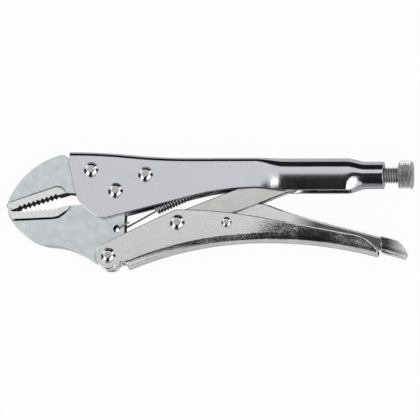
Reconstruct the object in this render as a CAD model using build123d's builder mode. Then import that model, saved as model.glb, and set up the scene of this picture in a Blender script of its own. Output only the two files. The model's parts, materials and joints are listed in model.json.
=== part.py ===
from build123d import *
import math
import os

# Locking pliers lying flat with the jaws shut, in millimetres. The origin is on the axis of the jaw pivot,
# on the surface that the pliers lie on. +X runs from the jaws to the screw knob, +Y from the movable handle
# to the fixed handle, and +Z up.

# Thicknesses across the tool
JAW_THICKNESS = 9.0
GRIP_THICKNESS = 11.5
GRIP_BEVEL = 1.15
SHEET = 2.3
SIDE_PLAY = 0.15
WALL_IN = JAW_THICKNESS / 2 + SIDE_PLAY
WALL_OUT = WALL_IN + SHEET

# Rivets
RIVET_SHANK = 6.0
RIVET_HEAD = 9.3
RIVET_HEIGHT = 2.4
RIVET_RIM = 0.5
RIVET_FLAT = 3.4
PIN_SHANK = 4.0
PIN_HEAD = 6.3
PIN_HEIGHT = 1.6
PIN_FLAT = 2.4
PIVOT_PLAY = 0.05

# Height of the middle plane, so that the rivet heads lie on the surface
MID = WALL_OUT + RIVET_HEIGHT

# Axes of the rivets
JAW_PIVOT = (0.0, 0.0)
FRONT_RIVET = (-15.7, 13.0)
REAR_RIVET = (18.4, 10.1)
HANDLE_PIVOT = (-3.3, -40.4)
LINK_PIVOT = (39.0, -19.8)
LEVER_PIVOT = (69.5, -19.6)

# Jaws
BACK_CENTRE = (-23.8, -22.6)
BACK_RADIUS = 46.8
BACK_FROM = 104.1
BACK_SWEEP = 60.0
FIXED_TIP = (-65.8, -11.9)
FIXED_HEEL = (-36.3, -2.6)
FIXED_THROAT = [(-30.7, -1.0), (-24.7, -1.3)]
FIXED_STEP = [
    (-75.0, -9.2), (-53.0, -1.7), (-38.4, 3.3), (-36.2, 3.5),
    (-33.9, 2.7), (-32.0, 1.1), (-30.8, -1.2), (-30.4, -3.0),
]
FIXED_STEP_CLOSE = [(-36.0, -20.0), (-75.0, -20.0)]
STEM_FRONT = [(-31.0, 20.9), (-33.0, 22.6)]
MOVABLE_NOSE = (-67.6, -11.3)
MOVABLE_TIP = (-64.2, -12.9)
MOVABLE_HEEL = (-36.3, -10.7)
MOVABLE_THROAT = [(-29.4, -9.0), (-20.9, -8.3)]
MOVABLE_STEP = [
    (-75.0, -19.3), (-63.0, -18.6), (-38.8, -17.4), (-35.3, -16.6),
    (-32.1, -14.4), (-29.5, -11.3), (-28.6, -9.2),
]
MOVABLE_STEP_CLOSE = [(-29.0, -5.0), (-75.0, -5.0)]
NECK_CURVE = [(-14.9, -42.7), (-26.1, -36.8), (-41.0, -34.1)]
CHIN_CURVE = [(-41.0, -34.1), (-58.9, -25.6), (-66.8, -15.5)]
TOOTH_COUNT = 9
TOOTH_PITCH = 2.9
TOOTH_DEPTH = 1.3
TOOTH_LAND = 0.35
FIRST_FIXED_TOOTH = 6.3
FIRST_MOVABLE_TOOTH = 4.4
BOSS_RADIUS = 9.0
BOSS_PLAY = 0.4
BOSS_FROM = 200.0
BOSS_SWEEP = -225.0
STEM_LUG = 8.2
JAW_LUG = 7.8
FOOT_FROM = 8.0
FOOT_SWEEP = -133.0
TAIL_EDGE = 5.8
TAIL_TOP = -14.0
TAIL_BOTTOM = -26.0
SPRING_EYE = (1.0, -23.2)
SPRING_EYE_BORE = 4.4

# Fixed handle
HANDLE_FRONT = -29.8
CROWN_FRONT = 24.7
CROWN_REAR = 20.9
CROWN_LEVEL_X = 46.0
FOLD = 3.5
FRONT_CORNER = (-7.2, -17.1)
FRONT_EDGE_MIDDLE = (-19.3, -10.3)
FRONT_EDGE_TURN = (-26.9, 4.1)
FRONT_EDGE_TOP = 16.0
EDGE_BEND = (46.6, -3.3)
EDGE_REAR = 2.2
SCREW_Y = 10.5
GRIP_HALF = 8.7
GRIP_BEND = 8.4
GRIP_BOW = 58.0
GRIP_EDGE = 0.4
FLARE_FROM = 86.0
FLARE_TO = 105.0
FLARE_STRIPS = 16
NECK_FROM = 142.0
NECK_TO = 154.0
NECK_STRIPS = 24
NECK_RADIUS = 8.3
NECK_BEND = 8.0
NECK_TURN = 85.0
CAVITY_END = 145.0
TUBE_END = 164.8
SEAM = 0.8
SEAM_DEPTH = 1.2
RUN_OUT = 6.0

# Movable handle
FLOOR_TOP = (92.0, -31.2)
FLOOR_FRONT_RADIUS = 213.0
FLOOR_REAR_RADIUS = 279.0
FLOOR_BEND = 4.8
WEB_FRONT = 8.6
EAR_RADIUS = 8.4
EAR_END = -58.0
LINK_BOSS = 8.2
WIDEN_FROM = 76.0
WIDEN_TO = 130.0
BELLY_STEP = 6.0
TOP_BEND = (90.0, -16.4)
TOP_END = (148.0, -27.4)
HANDLE_TIP = (162.2, -36.6)
TIP_SLOPE = 0.9
BELLY_CLEAR = -60.0
REAR_HALF = 8.4
REAR_BEND = 8.1
REAR_SPLAY = 9.0
NOTCH_TOP = (4.6, -44.6)

# Toggle link
LINK_NOSE_X = 115.0
LINK_HALF = 6.6
LINK_SHEET = 1.9
LINK_PLAY = 0.25
NOSE_RADIUS = 4.5
NOSE_LENGTH = 12.0
NOSE_GAP = 3.2

# Release lever
LEVER_HUB = 4.4
HUB_TOP = 120.0
HUB_BOTTOM = 270.0
LEVER_NOSE = (85.5, -6.6)
LEVER_PEAK = (92.6, -7.5)
LEVER_TOP_MIDDLE = (108.0, -13.2)
LEVER_TOP_BEND = (126.8, -18.8)
LEVER_SHOULDER = (164.2, -28.2)
LEVER_BACK = (172.5, -30.4)
LEVER_END = (179.6, -38.6)
LEVER_TOE = (178.4, -41.2)
LEVER_HEEL = (164.2, -37.4)
LEVER_BELLY_FROM = 98.0
LEVER_BELLY_X = 132.0
LEVER_CUT = 200.0
LEVER_NOSE_PLAY = 0.4
LEVER_LINK_PLAY = 0.8
LEVER_SWING = 6.0
LEVER_LIFT = 4.9
LEVER_SIDE = 4.2
TAIL_HALF = 7.6
TAIL_BEND = 7.3
TAIL_SPLAY = 9.0
TAIL_WALL = 1.8

# Adjusting screw
SCREW_DIAMETER = 10.0
SCREW_PLAY = 0.08
SCREW_TIP_CHAMFER = 1.5
KNOB_START = 173.8
KNOB_LENGTH = 8.7
KNOB_DIAMETER = 18.5
KNOB_CHAMFER = 1.0
SPIGOT_DIAMETER = 6.0
SPIGOT_LENGTH = 6.0

# Return spring
WIRE = 1.1
COIL_RADIUS = 2.65
COIL_TURNS = 25
COIL_START = (24.6, -10.8)
WIRE_BEND = 1.6
WIRE_SEAT = 0.3
WIRE_GAP = 0.6
BEND_SHARE = 0.9
LEG_RISE = 0.5
FREE_END = (9.0, -19.6)
HOOK_LEAD = 14.0
HOOK_RETURN = 6.0

# Tab lanced from the back of the fixed handle for the hook of the spring
TAB_X = 79.0
TAB_BOTTOM = 10.5
TAB_HOOK_Y = 14.3
TAB_WIDTH = 2 * (COIL_RADIUS + LEG_RISE - WIRE / 2 - WIRE_GAP)


def smooth(x, start, end):
    """Rise from 0 to 1 between two stations, level at both."""
    t = min(max((x - start) / (end - start), 0), 1)
    return t * t * (3 - 2 * t)


def blend(first, second, t):
    return first + (second - first) * t


def polar(centre, radius, degrees):
    angle = math.radians(degrees)
    return (centre[0] + radius * math.cos(angle), centre[1] + radius * math.sin(angle))


def station(x):
    """Plane across the tool at x: its first axis is +Y, its second +Z, measured from the middle plane."""
    return Plane(origin=(x, 0, MID), x_dir=(0, 1, 0), z_dir=(1, 0, 0))


def channel_section(x, crown, opening, half, bend, splay=0, bow=0):
    """Cross-section of a folded channel: a closed back, two bends and two walls.

    The walls splay out straight from the bends, or bow in with a curvature.
    """
    side = 1 if crown > opening else -1
    flat = half - bend
    centre = crown - side * bend
    tilt = math.radians(splay)
    wall = (centre + side * bend * math.sin(tilt), flat + bend * math.cos(tilt))
    turn = (math.pi / 2 + tilt) / 2
    middle = (centre + side * bend * math.sin(turn), flat + bend * math.cos(turn))
    reach = abs(wall[0] - opening)
    inward = math.asin(bow * reach) / 2 - tilt
    edge = (opening, wall[1] - reach * math.tan(inward))
    with BuildSketch(station(x)) as section:
        with BuildLine():
            Line((crown, -flat), (crown, flat))
            ThreePointArc((crown, flat), middle, wall)
            if bow:
                TangentArc(wall, edge, tangent=(-side, 0))
                Line(edge, (edge[0], -edge[1]))
                TangentArc((wall[0], -wall[1]), (edge[0], -edge[1]), tangent=(-side, 0))
            else:
                Polyline(wall, edge, (edge[0], -edge[1]), (wall[0], -wall[1]))
            ThreePointArc((wall[0], -wall[1]), (middle[0], -middle[1]), (crown, -flat))
        make_face()
    return section.sketch


def fixed_handle_section(x, skin):
    """Rear of the fixed handle: channel, then round grip, then the tube round the screw."""
    flare = smooth(x, FLARE_FROM, FLARE_TO)
    neck = smooth(x, NECK_FROM, NECK_TO)
    crown = blend(CROWN_REAR, SCREW_Y + NECK_RADIUS, neck)
    half = blend(blend(WALL_OUT, GRIP_HALF, flare), NECK_RADIUS, neck)
    bend = blend(blend(FOLD, GRIP_BEND, flare), NECK_BEND, neck)
    edge = blend(blend(EDGE_REAR, GRIP_EDGE, flare), SCREW_Y - NECK_RADIUS, neck)
    neck_bow = math.sin(math.radians(NECK_TURN)) / (2 * NECK_RADIUS - NECK_BEND)
    bow = blend(flare / GRIP_BOW, neck_bow, neck)
    inner_bow = bow / (1 - bow * skin)
    return channel_section(x, crown - skin, edge - skin, half - skin, bend - skin, bow=inner_bow)


def floor_height(x):
    """Outer line of the movable handle's belly, two arcs that meet level."""
    radius = FLOOR_FRONT_RADIUS if x < FLOOR_TOP[0] else FLOOR_REAR_RADIUS
    run = x - FLOOR_TOP[0]
    return FLOOR_TOP[1] - radius + math.sqrt(radius * radius - run * run)


def movable_handle_section(x, skin):
    """Movable handle, open upwards, flat sided round its pivots, rounder and splayed towards its end."""
    widen = smooth(x, WIDEN_FROM, WIDEN_TO)
    half = blend(WALL_OUT, REAR_HALF, widen)
    bend = blend(FLOOR_BEND, REAR_BEND, widen)
    return channel_section(x, floor_height(x) + skin, SCREW_Y, half - skin, bend - skin, REAR_SPLAY * widen)


def lever_tail_section(x, skin):
    """Tail of the release lever, open upwards and rounded like the end of the movable handle."""
    fall = (LEVER_TOE[1] - LEVER_HEEL[1]) / (LEVER_TOE[0] - LEVER_HEEL[0])
    belly = LEVER_HEEL[1] + fall * (x - LEVER_HEEL[0])
    return channel_section(x, belly + skin, SCREW_Y, TAIL_HALF - skin, TAIL_BEND - skin, TAIL_SPLAY)


def crown_line(depth):
    """Draw the back of the fixed handle up to the flare, at a depth under its outer skin."""
    middle = ((HANDLE_FRONT + CROWN_LEVEL_X) / 2, (CROWN_FRONT + CROWN_REAR) / 2 - depth)
    front = TangentArc((HANDLE_FRONT, CROWN_FRONT - depth), middle, tangent=(1, 0))
    TangentArc(middle, (CROWN_LEVEL_X, CROWN_REAR - depth), tangent=front % 1)
    Line((CROWN_LEVEL_X, CROWN_REAR - depth), (FLARE_FROM, CROWN_REAR - depth))


def drill(centre, diameter):
    """Cut a round hole through the part under way, across the tool."""
    with BuildSketch(Plane.XY.offset(MID)) as hole:
        with Locations(centre):
            Circle(diameter / 2)
    extrude(hole.sketch, amount=2 * WALL_OUT, both=True, mode=Mode.SUBTRACT)


def cut_teeth(tip, heel, first, side):
    """Cut the row of V grooves along the line from tip to heel."""
    row = Plane(origin=(*tip, MID), x_dir=(heel[0] - tip[0], heel[1] - tip[1], 0), z_dir=(0, 0, 1))
    half = (TOOTH_PITCH - TOOTH_LAND) / 2
    with BuildSketch(row) as grooves:
        for i in range(TOOTH_COUNT):
            x = first + i * TOOTH_PITCH
            with BuildLine():
                Polyline((x - half, 0), (x, side * TOOTH_DEPTH), (x + half, 0), close=True)
            make_face()
    extrude(grooves.sketch, amount=GRIP_THICKNESS, both=True, mode=Mode.SUBTRACT)


def raise_grip(outline, step, close):
    """Add the thicker grip of a jaw: its outline on the far side of the step line."""
    with BuildSketch(Plane.XY.offset(MID)) as grip:
        with BuildLine():
            Polyline(*step, *close, close=True)
        make_face()
        add(outline, mode=Mode.INTERSECT)
    extrude(grip.sketch, amount=GRIP_THICKNESS / 2, both=True)


def make_rivet(label, centre, shank, head, height, rim, flat):
    """A rivet with a domed head on both outer walls, flat in the middle."""
    top = WALL_OUT + height
    with BuildPart() as rivet:
        with BuildSketch(Plane.XZ):
            with BuildLine():
                Polyline((0, 0), (shank / 2, 0), (shank / 2, WALL_OUT), (head / 2, WALL_OUT))
                Line((head / 2, WALL_OUT), (head / 2, WALL_OUT + rim))
                TangentArc((flat / 2, top), (head / 2, WALL_OUT + rim), tangent=(1, 0))
                Polyline((flat / 2, top), (0, top), (0, 0))
            make_face()
        revolve(axis=Axis.Z)
        mirror(about=Plane.XY)
    rivet.part.label = label
    return Pos(centre[0], centre[1], MID) * rivet.part


os.makedirs("parts", exist_ok=True)

# Fixed jaw: a forging with a curved back and a stem that is riveted inside the fixed handle
seat = BOSS_RADIUS + BOSS_PLAY
lug_low = REAR_RIVET[1] - STEM_LUG
seat_angle = math.degrees(math.asin(lug_low / seat))
with BuildPart() as fixed_jaw:
    with BuildSketch(Plane.XY.offset(MID)) as fixed_outline:
        with BuildLine():
            back = CenterArc(BACK_CENTRE, BACK_RADIUS, BACK_FROM, BACK_SWEEP)
            Polyline(back @ 1, FIXED_TIP, FIXED_HEEL, *FIXED_THROAT, (-seat, 0))
            CenterArc(JAW_PIVOT, seat, seat_angle, 180 - seat_angle)
            Line(polar(JAW_PIVOT, seat, seat_angle), (REAR_RIVET[0], lug_low))
            CenterArc(REAR_RIVET, STEM_LUG, -90, 180)
            Polyline((REAR_RIVET[0], REAR_RIVET[1] + STEM_LUG), *STEM_FRONT, back @ 0)
        make_face()
    extrude(amount=JAW_THICKNESS / 2, both=True)
    raise_grip(fixed_outline.sketch, FIXED_STEP, FIXED_STEP_CLOSE)
    grip_faces = faces().filter_by(Axis.Z).group_by(Axis.Z)
    rims = grip_faces[0].edges() + grip_faces[-1].edges()
    slope = (FIXED_HEEL[1] - FIXED_TIP[1]) / (FIXED_HEEL[0] - FIXED_TIP[0])
    step_rims = rims.filter_by(
        lambda e: e.center().Y - FIXED_TIP[1] - slope * (e.center().X - FIXED_TIP[0]) > TOOTH_DEPTH
        and e.length > TOOTH_LAND
    )
    chamfer(step_rims, GRIP_BEVEL)
    cut_teeth(FIXED_TIP, FIXED_HEEL, FIRST_FIXED_TOOTH, 1)
    drill(FRONT_RIVET, RIVET_SHANK)
    drill(REAR_RIVET, RIVET_SHANK)
fixed_jaw.part.label = "fixed_jaw"
export_step(fixed_jaw.part, "parts/fixed_jaw.step")

# Movable jaw: it turns on the jaw pivot, and its foot carries the movable handle
with BuildPart() as movable_jaw:
    with BuildSketch(Plane.XY.offset(MID)) as movable_outline:
        with BuildLine():
            boss = CenterArc(JAW_PIVOT, BOSS_RADIUS, BOSS_FROM, BOSS_SWEEP)
            foot = CenterArc(HANDLE_PIVOT, JAW_LUG, FOOT_FROM, FOOT_SWEEP)
            Polyline(MOVABLE_NOSE, MOVABLE_TIP, MOVABLE_HEEL, *MOVABLE_THROAT, boss @ 0)
            Polyline(boss @ 1, (TAIL_EDGE, TAIL_TOP), (TAIL_EDGE, TAIL_BOTTOM), foot @ 0)
            Line(foot @ 1, NECK_CURVE[0])
            ThreePointArc(*NECK_CURVE)
            ThreePointArc(*CHIN_CURVE)
            Line(CHIN_CURVE[-1], MOVABLE_NOSE)
        make_face()
    extrude(amount=JAW_THICKNESS / 2, both=True)
    raise_grip(movable_outline.sketch, MOVABLE_STEP, MOVABLE_STEP_CLOSE)
    grip_faces = faces().filter_by(Axis.Z).group_by(Axis.Z)
    rims = grip_faces[0].edges() + grip_faces[-1].edges()
    step_rims = rims.filter_by(
        lambda e: e.center().Y < MOVABLE_TIP[1] - TOOTH_DEPTH / 2
        and e.length > TOOTH_LAND
    )
    chamfer(step_rims, GRIP_BEVEL)
    cut_teeth(MOVABLE_TIP, MOVABLE_HEEL, FIRST_MOVABLE_TOOTH, -1)
    drill(JAW_PIVOT, RIVET_SHANK + 2 * PIVOT_PLAY)
    drill(HANDLE_PIVOT, RIVET_SHANK + 2 * PIVOT_PLAY)
    drill(SPRING_EYE, SPRING_EYE_BORE)
movable_jaw.part.label = "movable_jaw"
export_step(movable_jaw.part, "parts/movable_jaw.step")

# Fixed handle: a channel folded along its back, flat sided round the jaws and round at the grip
flare_stations = [blend(FLARE_FROM, FLARE_TO, i / FLARE_STRIPS) for i in range(FLARE_STRIPS + 1)]
neck_stations = [blend(NECK_FROM, NECK_TO, i / NECK_STRIPS) for i in range(NECK_STRIPS + 1)]
low = FRONT_CORNER[1] - RUN_OUT
ahead = HANDLE_FRONT - RUN_OUT
with BuildPart() as fixed_inside:
    with BuildSketch(Plane.XY.offset(MID)):
        with BuildLine():
            crown_line(SHEET)
            Polyline(
                (FLARE_FROM, CROWN_REAR - SHEET),
                (FLARE_FROM, low),
                (ahead, low),
                (ahead, CROWN_FRONT - SHEET),
                (HANDLE_FRONT, CROWN_FRONT - SHEET),
            )
        make_face()
    extrude(amount=WALL_IN, both=True)
    crown_rims = edges().filter_by(
        lambda e: e.center().Y > SCREW_Y + FOLD
        and e.center().X > ahead
        and abs(e.center().Z - MID) > WALL_IN - SIDE_PLAY
    )
    fillet(crown_rims, FOLD - SHEET)
    inner_stations = flare_stations + [NECK_FROM, CAVITY_END]
    loft([fixed_handle_section(x, SHEET) for x in inner_stations], ruled=True)

with BuildPart() as fixed_handle:
    with BuildSketch(Plane.XY.offset(MID)):
        with BuildLine():
            crown_line(0)
            Line((FLARE_FROM, CROWN_REAR), (FLARE_FROM, EDGE_REAR))
            edge_line = Line(FRONT_CORNER, EDGE_BEND)
            TangentArc(EDGE_BEND, (FLARE_FROM, EDGE_REAR), tangent=edge_line % 1)
            front_edge = ThreePointArc(FRONT_CORNER, FRONT_EDGE_MIDDLE, FRONT_EDGE_TURN)
            TangentArc(front_edge @ 1, (HANDLE_FRONT, FRONT_EDGE_TOP), tangent=front_edge % 1)
            Line((HANDLE_FRONT, FRONT_EDGE_TOP), (HANDLE_FRONT, CROWN_FRONT))
        make_face()
    extrude(amount=WALL_OUT, both=True)
    crown_rims = edges().filter_by(
        lambda e: e.center().Y > SCREW_Y + FOLD
        and e.center().X > HANDLE_FRONT + FOLD
        and abs(e.center().Z - MID) > WALL_IN
    )
    fillet(crown_rims, FOLD)
    outer_stations = flare_stations + neck_stations + [TUBE_END]
    loft([fixed_handle_section(x, 0) for x in outer_stations], ruled=True)
    add(fixed_inside.part, mode=Mode.SUBTRACT)
    tube_run = TUBE_END - CAVITY_END + 2 * SHEET
    with BuildSketch(station(CAVITY_END - SHEET)):
        with Locations((SCREW_Y, 0)):
            Circle(SCREW_DIAMETER / 2 + SCREW_PLAY)
    extrude(amount=tube_run, mode=Mode.SUBTRACT)
    with BuildSketch(station(CAVITY_END - SHEET)):
        with Locations((SCREW_Y - NECK_RADIUS, 0)):
            Rectangle(2 * SEAM_DEPTH, SEAM)
    extrude(amount=tube_run, mode=Mode.SUBTRACT)
    with BuildSketch(Plane.XY.offset(MID)):
        with Locations((TAB_X, TAB_BOTTOM)):
            Rectangle(SHEET, CROWN_REAR - SHEET / 2 - TAB_BOTTOM, align=(Align.CENTER, Align.MIN))
    extrude(amount=TAB_WIDTH / 2, both=True)
    for axis in (JAW_PIVOT, FRONT_RIVET, REAR_RIVET):
        drill(axis, RIVET_SHANK)
fixed_handle.part.label = "fixed_handle"
export_step(fixed_handle.part, "parts/fixed_handle.step")

# Movable handle: a channel folded along its belly, with two ears for the handle pivot
ear_run = math.dist(HANDLE_PIVOT, LINK_PIVOT)
along = ((LINK_PIVOT[0] - HANDLE_PIVOT[0]) / ear_run, (LINK_PIVOT[1] - HANDLE_PIVOT[1]) / ear_run)
ease = (EAR_RADIUS - LINK_BOSS) / ear_run
square = math.sqrt(1 - ease * ease)
rise = (along[0] * ease - along[1] * square, along[1] * ease + along[0] * square)
rise_angle = math.degrees(math.atan2(rise[1], rise[0]))
ear_low = polar(HANDLE_PIVOT, EAR_RADIUS, EAR_END)
web_low = floor_height(WEB_FRONT) + SHEET / 2
belly_start = HANDLE_PIVOT[0] - EAR_RADIUS - SHEET
belly_strips = math.ceil((HANDLE_TIP[0] + SHEET - belly_start) / BELLY_STEP)
belly_stations = [belly_start + BELLY_STEP * i for i in range(belly_strips + 1)]
with BuildPart() as movable_handle:
    loft([movable_handle_section(x, 0) for x in belly_stations], ruled=True)
    loft([movable_handle_section(x, SHEET) for x in belly_stations], ruled=True, mode=Mode.SUBTRACT)
    with BuildSketch(Plane.XY.offset(MID)):
        with BuildLine():
            CenterArc(HANDLE_PIVOT, EAR_RADIUS, rise_angle, 360 + EAR_END - rise_angle)
            Line(polar(HANDLE_PIVOT, EAR_RADIUS, rise_angle), polar(LINK_PIVOT, LINK_BOSS, rise_angle))
            CenterArc(LINK_PIVOT, LINK_BOSS, 90, rise_angle - 90)
            TangentArc((LINK_PIVOT[0], LINK_PIVOT[1] + LINK_BOSS), TOP_BEND, tangent=(1, 0))
            top_line = Line(TOP_BEND, TOP_END)
            TangentArc(TOP_END, HANDLE_TIP, tangent=top_line % 1)
            Polyline(
                HANDLE_TIP,
                (HANDLE_TIP[0] - TIP_SLOPE, BELLY_CLEAR),
                (WEB_FRONT, BELLY_CLEAR),
                (WEB_FRONT, web_low),
            )
            ThreePointArc((WEB_FRONT, web_low), NOTCH_TOP, ear_low)
        make_face()
    extrude(amount=2 * WALL_OUT, both=True, mode=Mode.INTERSECT)
    drill(HANDLE_PIVOT, RIVET_SHANK)
    drill(LINK_PIVOT, RIVET_SHANK)
    drill(LEVER_PIVOT, PIN_SHANK)
movable_handle.part.label = "movable_handle"
export_step(movable_handle.part, "parts/movable_handle.step")

# Toggle link: a folded strut, closed along its upper edge, with a solid nose for the screw
link_run = math.dist(LINK_PIVOT, (LINK_NOSE_X, SCREW_Y))
link_plane = Plane(
    origin=(*LINK_PIVOT, MID),
    x_dir=(LINK_NOSE_X - LINK_PIVOT[0], SCREW_Y - LINK_PIVOT[1], 0),
    z_dir=(0, 0, 1),
)
link_half_width = WALL_IN - LINK_PLAY
with BuildPart() as toggle_link:
    with BuildSketch(link_plane):
        Circle(LINK_HALF)
        with Locations((link_run - NOSE_LENGTH, 0)):
            Circle(LINK_HALF)
        with Locations((link_run, 0)):
            Circle(NOSE_RADIUS)
        make_hull()
    extrude(amount=link_half_width, both=True)
    with BuildSketch(link_plane):
        with Locations((link_run - NOSE_LENGTH, LINK_HALF - LINK_SHEET)):
            Rectangle(link_run + LINK_HALF, 4 * LINK_HALF, align=(Align.MAX, Align.MAX))
    extrude(amount=link_half_width - LINK_SHEET, both=True, mode=Mode.SUBTRACT)
    drill(LINK_PIVOT, RIVET_SHANK + 2 * PIVOT_PLAY)
toggle_link.part.label = "toggle_link"
export_step(toggle_link.part, "parts/toggle_link.step")

# Release lever: a thin nose under the link, a wider shank in the movable handle and a broad tail behind it
nose_half = link_half_width - LINK_SHEET - LEVER_NOSE_PLAY
belly = [(x, floor_height(x) + LEVER_LIFT) for x in (LEVER_HEEL[0], LEVER_BELLY_X, LEVER_BELLY_FROM)]
with BuildSketch(Plane.XY.offset(MID)) as lever_outline:
    with BuildLine():
        CenterArc(LEVER_PIVOT, LEVER_HUB, HUB_TOP, HUB_BOTTOM - HUB_TOP)
        Polyline(polar(LEVER_PIVOT, LEVER_HUB, HUB_TOP), LEVER_NOSE, LEVER_PEAK)
        ThreePointArc(LEVER_PEAK, LEVER_TOP_MIDDLE, LEVER_TOP_BEND)
        Line(LEVER_TOP_BEND, LEVER_SHOULDER)
        tail_line = Line(LEVER_SHOULDER, LEVER_BACK)
        TangentArc(LEVER_BACK, LEVER_END, tangent=tail_line % 1)
        Polyline(LEVER_END, LEVER_TOE, LEVER_HEEL, belly[0])
        ThreePointArc(*belly)
        Line(belly[2], polar(LEVER_PIVOT, LEVER_HUB, HUB_BOTTOM))
    make_face()

with BuildPart() as lever_tail:
    tail_ends = (LEVER_HEEL[0], LEVER_END[0] + TAIL_WALL)
    loft([lever_tail_section(x, 0) for x in tail_ends], ruled=True)
    extrude(lever_outline.sketch, amount=2 * WALL_OUT, both=True, mode=Mode.INTERSECT)

# The wider shank stays clear of the link when the lever is squeezed
with BuildSketch(link_plane) as link_room:
    with Locations((0, -LINK_HALF - LEVER_LINK_PLAY)):
        Rectangle(LEVER_CUT, LEVER_CUT, align=(Align.CENTER, Align.MIN))
swept_room = link_room.sketch.rotate(Axis((*LEVER_PIVOT, MID), (0, 0, 1)), -LEVER_SWING)
with BuildPart() as lever_shank:
    extrude(lever_outline.sketch, amount=LEVER_SIDE, both=True)
    extrude(swept_room, amount=2 * WALL_OUT, both=True, mode=Mode.SUBTRACT)

with BuildPart() as release_lever:
    extrude(lever_outline.sketch, amount=nose_half, both=True)
    add(lever_shank.part)
    add(lever_tail.part)
    hollow_ends = (LEVER_HEEL[0] + TAIL_WALL, LEVER_TOE[0] - TAIL_WALL)
    loft([lever_tail_section(x, TAIL_WALL) for x in hollow_ends], ruled=True, mode=Mode.SUBTRACT)
    drill(LEVER_PIVOT, PIN_SHANK + 2 * PIVOT_PLAY)
release_lever.part.label = "release_lever"
export_step(release_lever.part, "parts/release_lever.step")

# Adjusting screw and its knob
tip_x = LINK_NOSE_X + NOSE_RADIUS + NOSE_GAP
with BuildPart() as adjusting_screw:
    with BuildSketch(station(tip_x)):
        with Locations((SCREW_Y, 0)):
            Circle(SCREW_DIAMETER / 2)
    extrude(amount=KNOB_START - tip_x)
    chamfer(faces().sort_by(Axis.X)[0].edges(), SCREW_TIP_CHAMFER)
    with BuildSketch(station(KNOB_START)):
        with Locations((SCREW_Y, 0)):
            Circle(SPIGOT_DIAMETER / 2)
    extrude(amount=SPIGOT_LENGTH)
adjusting_screw.part.label = "adjusting_screw"
export_step(adjusting_screw.part, "parts/adjusting_screw.step")

with BuildPart() as screw_knob:
    with BuildSketch(station(KNOB_START)):
        with Locations((SCREW_Y, 0)):
            Circle(KNOB_DIAMETER / 2)
    extrude(amount=KNOB_LENGTH)
    chamfer(edges().filter_by(GeomType.CIRCLE), KNOB_CHAMFER)
    with BuildSketch(station(KNOB_START)):
        with Locations((SCREW_Y, 0)):
            Circle(SPIGOT_DIAMETER / 2 + PIVOT_PLAY)
    extrude(amount=SPIGOT_LENGTH + PIVOT_PLAY, mode=Mode.SUBTRACT)
screw_knob.part.label = "screw_knob"
export_step(screw_knob.part, "parts/screw_knob.step")

# Rivets
rivets = {
    "front_jaw_rivet": FRONT_RIVET,
    "rear_jaw_rivet": REAR_RIVET,
    "jaw_pivot_rivet": JAW_PIVOT,
    "handle_pivot_rivet": HANDLE_PIVOT,
    "link_pivot_rivet": LINK_PIVOT,
}
for label, axis in rivets.items():
    rivet = make_rivet(label, axis, RIVET_SHANK, RIVET_HEAD, RIVET_HEIGHT, RIVET_RIM, RIVET_FLAT)
    export_step(rivet, f"parts/{label}.step")
lever_pin = make_rivet("lever_pivot_rivet", LEVER_PIVOT, PIN_SHANK, PIN_HEAD, PIN_HEIGHT, RIVET_RIM, PIN_FLAT)
export_step(lever_pin, "parts/lever_pivot_rivet.step")

# Return spring: one wire, from its free end through the jaw's eye, along the coil and round the tab
hook_x = TAB_X + SHEET / 2 + WIRE_SEAT + WIRE / 2
hook_point = Vector(hook_x, TAB_HOOK_Y, MID)
coil_origin = Vector(*COIL_START, MID)
axis_dir = (hook_point - coil_origin).normalized()
side_dir = Vector(-axis_dir.Y, axis_dir.X, 0)
up_dir = Vector(0, 0, 1)
coil_pitch = ((hook_point - coil_origin).length - HOOK_LEAD) / COIL_TURNS
turn_length = 2 * math.pi * COIL_RADIUS
lead = math.atan2(coil_pitch, turn_length)


def coil_point(turns):
    angle = 2 * math.pi * turns
    radial = side_dir * math.cos(angle) + up_dir * math.sin(angle)
    return coil_origin + axis_dir * (coil_pitch * turns) + radial * COIL_RADIUS


def coil_tangent(turns):
    angle = 2 * math.pi * turns
    round_dir = up_dir * math.cos(angle) - side_dir * math.sin(angle)
    return round_dir * math.cos(lead) + axis_dir * math.sin(lead)


def biarc_joint(start, end, start_dir, end_dir):
    """Middle point of the symmetric pair of arcs between two points with given directions."""
    chord = end - start
    both = start_dir + end_dir
    across = chord.dot(both)
    spread = 2 * (1 - start_dir.dot(end_dir))
    reach = (-across + math.sqrt(across * across + spread * chord.dot(chord))) / spread
    return (start + start_dir * reach + end - end_dir * reach) * 0.5


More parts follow.
